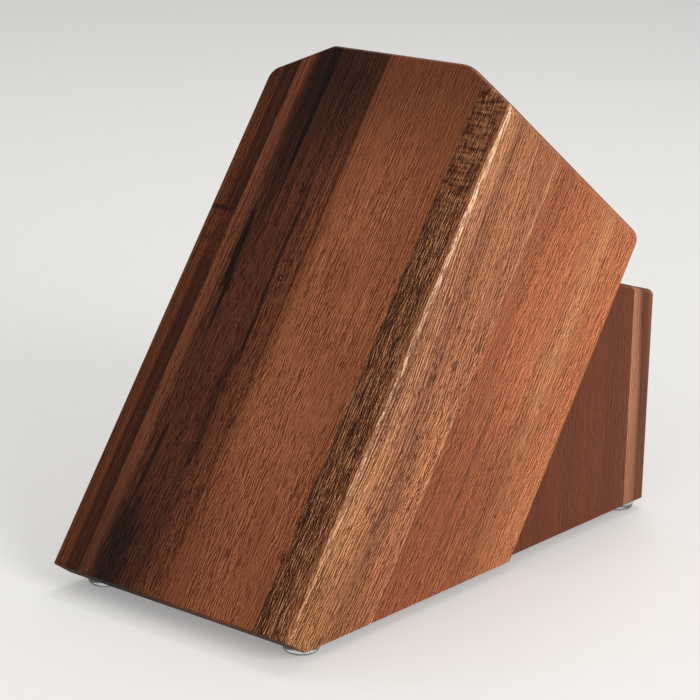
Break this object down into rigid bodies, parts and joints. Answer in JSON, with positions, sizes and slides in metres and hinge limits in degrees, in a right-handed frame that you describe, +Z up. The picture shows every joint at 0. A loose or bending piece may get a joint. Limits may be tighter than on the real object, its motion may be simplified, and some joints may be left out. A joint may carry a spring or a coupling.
{
  "type": "knife block",
  "caption": "Empty leaning knife block of glued acacia boards with clipped top corners, blade slots between its core boards, a lower front tier with short slots, and clear round feet.",
  "frame": {"origin": "on the floor, in the middle of the footprint", "axes": "+Z up, the slot face and the tier look along -Y, +X to the right as seen from the front"},
  "size_m": [0.131, 0.2594, 0.2177],
  "materials": {
    "dark_acacia": "oiled, satin",
    "red_acacia": "oiled, satin",
    "golden_acacia": "oiled, satin",
    "foot": "clear, glossy"
  },
  "bodies": {
    "root": {"centre_spacer_1": "red_acacia", "core_board_1": "red_acacia", "core_board_2": "red_acacia", "core_board_3": "red_acacia", "core_board_4": "red_acacia", "foot_front_left": "foot", "foot_front_right": "foot", "foot_rear_left": "foot", "foot_rear_right": "foot", "front_panel_left_stave": "red_acacia", "front_panel_right_stave": "red_acacia", "left_cheek_front_stave": "golden_acacia", "left_cheek_rear_stave": "golden_acacia", "left_inner_spacer_1": "red_acacia", "left_outer_spacer_1": "red_acacia", "left_outer_spacer_2": "red_acacia", "left_outer_spacer_3": "red_acacia", "rear_panel_left_stave": "red_acacia", "rear_panel_right_stave": "dark_acacia", "right_cheek_front_stave": "golden_acacia", "right_cheek_rear_stave": "golden_acacia", "right_inner_spacer_1": "red_acacia", "right_outer_spacer_1": "red_acacia", "right_outer_spacer_2": "red_acacia", "right_outer_spacer_3": "red_acacia", "tier_divider_1": "red_acacia", "tier_divider_2": "red_acacia", "tier_divider_3": "red_acacia", "tier_divider_4": "red_acacia", "tier_divider_5": "red_acacia", "tier_front_left_stave": "golden_acacia", "tier_front_right_stave": "golden_acacia", "tier_left_side": "dark_acacia", "tier_right_side": "dark_acacia"}
  },
  "joints": []
}
